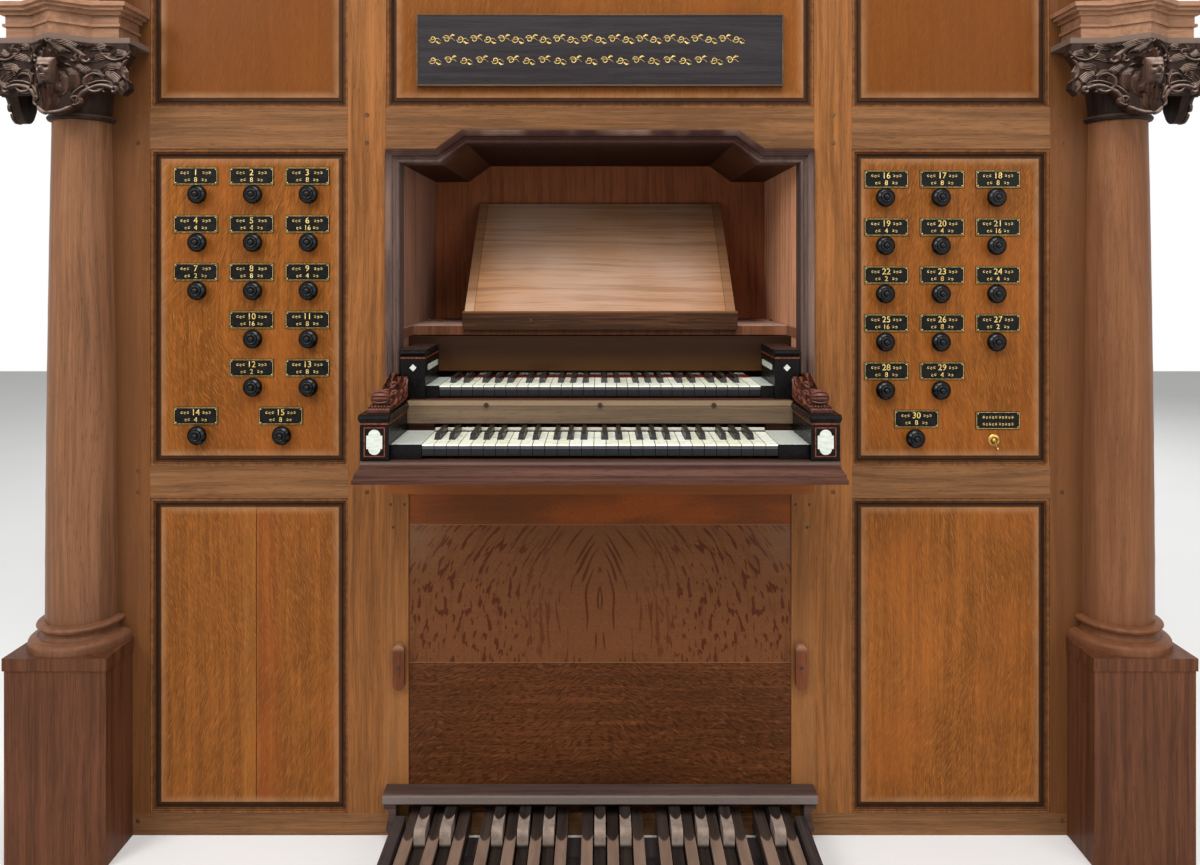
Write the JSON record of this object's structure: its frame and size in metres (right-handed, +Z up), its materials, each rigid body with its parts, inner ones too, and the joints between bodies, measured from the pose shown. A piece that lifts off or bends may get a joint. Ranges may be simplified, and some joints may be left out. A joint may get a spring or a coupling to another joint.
{
  "type": "organ console bay",
  "caption": "Lower case of a church organ as a panelled oak front with its manuals, a music desk in a framed niche, turned drawstops, a pedalboard and a carved column at each side",
  "frame": {"origin": "on the floor, in the middle of the plane of the case front", "axes": "+X to the player's right, +Y into the case, +Z up"},
  "size_m": [2.556, 1.262, 2.262],
  "materials": {
    "frame_oak": "waxed oak, medium brown",
    "panel_oak": "waxed oak, warm orange brown",
    "moulding_oak": "waxed oak moulding, darker in the groove",
    "dark_oak": "old dark oak, worn on the edges",
    "niche_oak": "dark red-brown oak",
    "desk_oak": "satin mid-brown oak",
    "name_board_oak": "worn oak board",
    "bone": "bone key plates, satin",
    "ebony": "black polished wood",
    "carved_wood": "carved red-brown wood",
    "bed_oak": "dark moulded oak, worn",
    "figured_oak": "quarter-cut oak with strong figure",
    "pedal_oak": "grey-brown worn oak",
    "column_wood": "reddish brown wood",
    "capital_wood": "grey-brown carved wood",
    "brass": "worn brass",
    "knob_wood": "black turned wood, polished"
  },
  "bodies": {
    "case": {"front_stiles": "frame_oak", "front_rails": "frame_oak", "field_panels": "panel_oak", "stop_panels": "panel_oak", "panel_mouldings": "moulding_oak", "window_frame": "dark_oak", "niche_lining": "niche_oak", "music_desk": "desk_oak", "name_boards": "name_board_oak", "upper_naturals": "bone", "upper_sharps": "ebony", "lower_naturals": "bone", "lower_sharps": "ebony", "key_cheeks": "ebony", "cheek_carvings": "carved_wood", "keybed": "bed_oak", "knee_panel": "figured_oak", "pedal_ledge": "pedal_oak", "pedal_frame": "pedal_oak", "pedal_naturals": "pedal_oak", "pedal_sharps": "pedal_oak", "pedestals": "column_wood", "columns": "column_wood", "capitals": "capital_wood", "cornice": "column_wood", "side_walls": "frame_oak", "back_wall": "frame_oak"},
    "switch_lever": {"switch_lever": "brass"},
    "left_turn_button": {"left_turn_button": "dark_oak"},
    "right_turn_button": {"right_turn_button": "dark_oak"},
    "left_stop_1": {"left_stop_1": "knob_wood"},
    "left_stop_2": {"left_stop_2": "knob_wood"},
    "left_stop_3": {"left_stop_3": "knob_wood"},
    "left_stop_4": {"left_stop_4": "knob_wood"},
    "left_stop_5": {"left_stop_5": "knob_wood"},
    "left_stop_6": {"left_stop_6": "knob_wood"},
    "left_stop_7": {"left_stop_7": "knob_wood"},
    "left_stop_8": {"left_stop_8": "knob_wood"},
    "left_stop_9": {"left_stop_9": "knob_wood"},
    "left_stop_10": {"left_stop_10": "knob_wood"},
    "left_stop_11": {"left_stop_11": "knob_wood"},
    "left_stop_12": {"left_stop_12": "knob_wood"},
    "left_stop_13": {"left_stop_13": "knob_wood"},
    "left_stop_14": {"left_stop_14": "knob_wood"},
    "left_stop_15": {"left_stop_15": "knob_wood"},
    "right_stop_1": {"right_stop_1": "knob_wood"},
    "right_stop_2": {"right_stop_2": "knob_wood"},
    "right_stop_3": {"right_stop_3": "knob_wood"},
    "right_stop_4": {"right_stop_4": "knob_wood"},
    "right_stop_5": {"right_stop_5": "knob_wood"},
    "right_stop_6": {"right_stop_6": "knob_wood"},
    "right_stop_7": {"right_stop_7": "knob_wood"},
    "right_stop_8": {"right_stop_8": "knob_wood"},
    "right_stop_9": {"right_stop_9": "knob_wood"},
    "right_stop_10": {"right_stop_10": "knob_wood"},
    "right_stop_11": {"right_stop_11": "knob_wood"},
    "right_stop_12": {"right_stop_12": "knob_wood"},
    "right_stop_13": {"right_stop_13": "knob_wood"},
    "right_stop_14": {"right_stop_14": "knob_wood"},
    "right_stop_15": {"right_stop_15": "knob_wood"}
  },
  "joints": [
    {"name": "left_stop_1_slide", "type": "slide", "parent": "case", "child": "left_stop_1", "axis": [0, -1, 0], "range_m": [0, 0.035]},
    {"name": "left_stop_2_slide", "type": "slide", "parent": "case", "child": "left_stop_2", "axis": [0, -1, 0], "range_m": [0, 0.035]},
    {"name": "left_stop_3_slide", "type": "slide", "parent": "case", "child": "left_stop_3", "axis": [0, -1, 0], "range_m": [0, 0.035]},
    {"name": "left_stop_4_slide", "type": "slide", "parent": "case", "child": "left_stop_4", "axis": [0, -1, 0], "range_m": [0, 0.035]},
    {"name": "left_stop_5_slide", "type": "slide", "parent": "case", "child": "left_stop_5", "axis": [0, -1, 0], "range_m": [0, 0.035]},
    {"name": "left_stop_6_slide", "type": "slide", "parent": "case", "child": "left_stop_6", "axis": [0, -1, 0], "range_m": [0, 0.035]},
    {"name": "left_stop_7_slide", "type": "slide", "parent": "case", "child": "left_stop_7", "axis": [0, -1, 0], "range_m": [0, 0.035]},
    {"name": "left_stop_8_slide", "type": "slide", "parent": "case", "child": "left_stop_8", "axis": [0, -1, 0], "range_m": [0, 0.035]},
    {"name": "left_stop_9_slide", "type": "slide", "parent": "case", "child": "left_stop_9", "axis": [0, -1, 0], "range_m": [0, 0.035]},
    {"name": "left_stop_10_slide", "type": "slide", "parent": "case", "child": "left_stop_10", "axis": [0, -1, 0], "range_m": [0, 0.035]},
    {"name": "left_stop_11_slide", "type": "slide", "parent": "case", "child": "left_stop_11", "axis": [0, -1, 0], "range_m": [0, 0.035]},
    {"name": "left_stop_12_slide", "type": "slide", "parent": "case", "child": "left_stop_12", "axis": [0, -1, 0], "range_m": [0, 0.035]},
    {"name": "left_stop_13_slide", "type": "slide", "parent": "case", "child": "left_stop_13", "axis": [0, -1, 0], "range_m": [0, 0.035]},
    {"name": "left_stop_14_slide", "type": "slide", "parent": "case", "child": "left_stop_14", "axis": [0, -1, 0], "range_m": [0, 0.035]},
    {"name": "left_stop_15_slide", "type": "slide", "parent": "case", "child": "left_stop_15", "axis": [0, -1, 0], "range_m": [0, 0.035]},
    {"name": "right_stop_1_slide", "type": "slide", "parent": "case", "child": "right_stop_1", "axis": [0, -1, 0], "range_m": [0, 0.035]},
    {"name": "right_stop_2_slide", "type": "slide", "parent": "case", "child": "right_stop_2", "axis": [0, -1, 0], "range_m": [0, 0.035]},
    {"name": "right_stop_3_slide", "type": "slide", "parent": "case", "child": "right_stop_3", "axis": [0, -1, 0], "range_m": [0, 0.035]},
    {"name": "right_stop_4_slide", "type": "slide", "parent": "case", "child": "right_stop_4", "axis": [0, -1, 0], "range_m": [0, 0.035]},
    {"name": "right_stop_5_slide", "type": "slide", "parent": "case", "child": "right_stop_5", "axis": [0, -1, 0], "range_m": [0, 0.035]},
    {"name": "right_stop_6_slide", "type": "slide", "parent": "case", "child": "right_stop_6", "axis": [0, -1, 0], "range_m": [0, 0.035]},
    {"name": "right_stop_7_slide", "type": "slide", "parent": "case", "child": "right_stop_7", "axis": [0, -1, 0], "range_m": [0, 0.035]},
    {"name": "right_stop_8_slide", "type": "slide", "parent": "case", "child": "right_stop_8", "axis": [0, -1, 0], "range_m": [0, 0.035]},
    {"name": "right_stop_9_slide", "type": "slide", "parent": "case", "child": "right_stop_9", "axis": [0, -1, 0], "range_m": [0, 0.035]},
    {"name": "right_stop_10_slide", "type": "slide", "parent": "case", "child": "right_stop_10", "axis": [0, -1, 0], "range_m": [0, 0.035]},
    {"name": "right_stop_11_slide", "type": "slide", "parent": "case", "child": "right_stop_11", "axis": [0, -1, 0], "range_m": [0, 0.035]},
    {"name": "right_stop_12_slide", "type": "slide", "parent": "case", "child": "right_stop_12", "axis": [0, -1, 0], "range_m": [0, 0.035]},
    {"name": "right_stop_13_slide", "type": "slide", "parent": "case", "child": "right_stop_13", "axis": [0, -1, 0], "range_m": [0, 0.035]},
    {"name": "right_stop_14_slide", "type": "slide", "parent": "case", "child": "right_stop_14", "axis": [0, -1, 0], "range_m": [0, 0.035]},
    {"name": "right_stop_15_slide", "type": "slide", "parent": "case", "child": "right_stop_15", "axis": [0, -1, 0], "range_m": [0, 0.035]},
    {"name": "switch_hinge", "type": "hinge", "parent": "case", "child": "switch_lever", "pos_m": [0.8624, 0.005, 0.86111], "axis": [-1, 0, 0], "range_deg": [0, 80]},
    {"name": "left_button_hinge", "type": "hinge", "parent": "case", "child": "left_turn_button", "pos_m": [-0.43662, 0, 0.372], "axis": [0, -1, 0], "range_deg": [0, 90]},
    {"name": "right_button_hinge", "type": "hinge", "parent": "case", "child": "right_turn_button", "pos_m": [0.43662, 0, 0.372], "axis": [0, -1, 0], "range_deg": [0, 90]}
  ]
}
